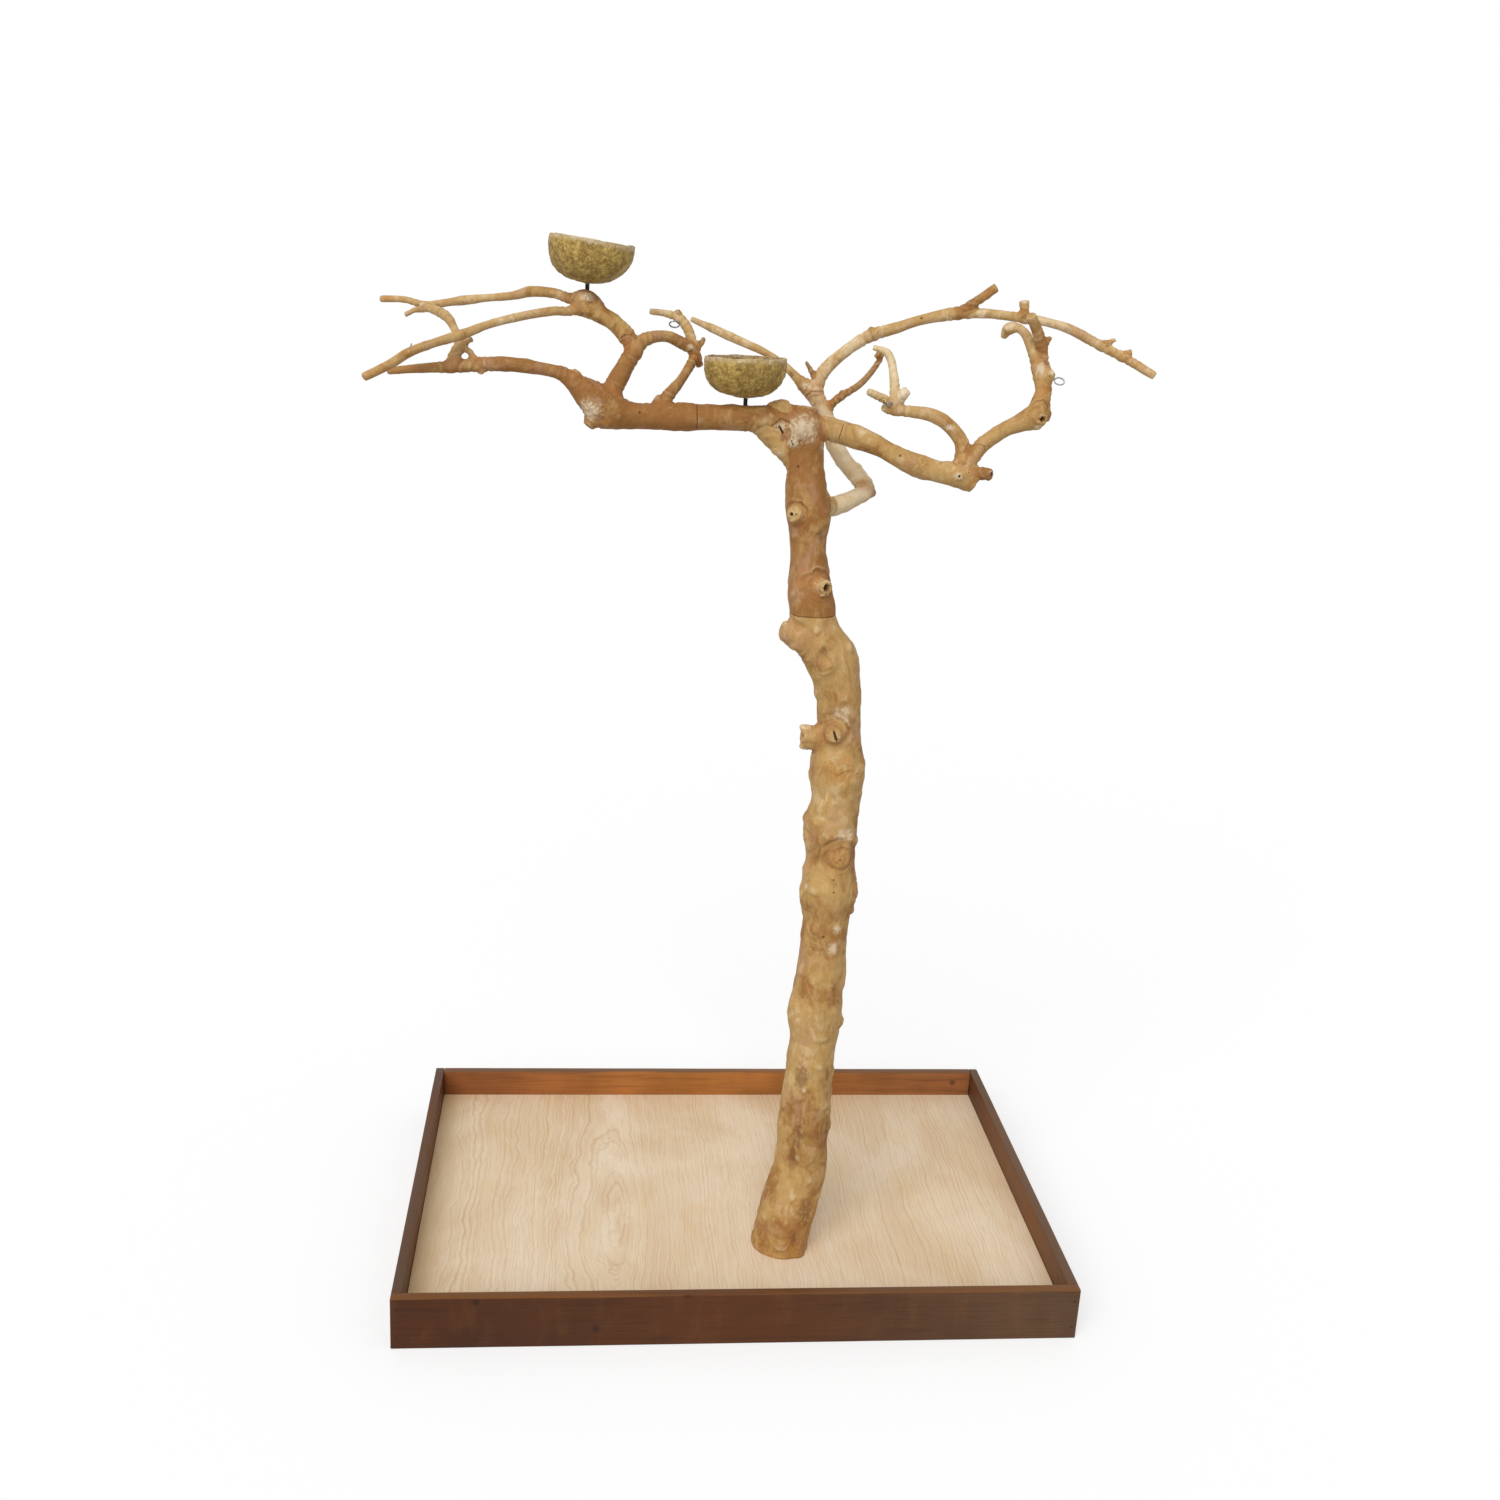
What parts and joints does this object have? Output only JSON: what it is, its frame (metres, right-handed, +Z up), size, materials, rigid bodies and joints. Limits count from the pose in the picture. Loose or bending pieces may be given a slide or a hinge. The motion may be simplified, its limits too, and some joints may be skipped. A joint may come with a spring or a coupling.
{
  "type": "parrot play stand",
  "caption": "Free-standing parrot play stand: branching hardwood limbs on a shallow wooden tray, with coconut cups that turn on studs and wire eyes for toys.",
  "frame": {"origin": "on the ground under the middle of the tray", "axes": "+Z up, +X to the right as the front board is faced, +Y to the back board"},
  "size_m": [1.024, 0.61, 1.3956],
  "materials": {
    "stained_board": "dark walnut stain, satin, worn at the arrises",
    "floor_veneer": "clear matt lacquer on pale oak veneer",
    "cleat_pine": "sawn, unfinished",
    "cleaned_limb": "sandblasted hardwood, matt, no coating",
    "dowel_wood": "turned, unfinished",
    "coconut_shell": "sanded coconut husk over shell, matt",
    "zinc_steel": "bright zinc plate",
    "stud_steel": "dark oiled steel",
    "eye_steel": "bright nickel plate"
  },
  "bodies": {
    "stand": {"front_board": "stained_board", "back_board": "stained_board", "left_board": "stained_board", "right_board": "stained_board", "floor_panel": "floor_veneer", "front_cleat": "cleat_pine", "back_cleat": "cleat_pine", "left_cleat": "cleat_pine", "right_cleat": "cleat_pine", "foot_brace": "cleat_pine", "cleat_screws": "zinc_steel", "floor_screws": "zinc_steel", "brace_screws": "zinc_steel", "corner_nails": "zinc_steel", "trunk_lag_screws": "zinc_steel", "trunk_washers": "zinc_steel", "lower_trunk": "cleaned_limb", "upper_trunk": "cleaned_limb", "left_bough": "cleaned_limb", "right_bough": "cleaned_limb", "back_bough": "cleaned_limb", "seam_dowel": "dowel_wood", "left_bough_dowel": "dowel_wood", "right_bough_dowel": "dowel_wood", "back_bough_dowel": "dowel_wood", "left_bowl_stud": "stud_steel", "right_bowl_stud": "stud_steel", "left_eye_screw": "eye_steel", "middle_eye_screw": "eye_steel", "right_eye_screw": "eye_steel", "outer_eye_screw": "eye_steel"},
    "left_cup": {"left_bowl": "coconut_shell", "left_bowl_insert": "zinc_steel"},
    "right_cup": {"right_bowl": "coconut_shell", "right_bowl_insert": "zinc_steel"}
  },
  "joints": [
    {"name": "left_cup_turn", "type": "hinge", "parent": "stand", "child": "left_cup", "pos_m": [-0.235, 0, 1.336], "axis": [0, 0, 1], "continuous": true},
    {"name": "right_cup_turn", "type": "hinge", "parent": "stand", "child": "right_cup", "pos_m": [-0.032, -0.03, 1.2075], "axis": [0, 0, 1], "continuous": true}
  ]
}
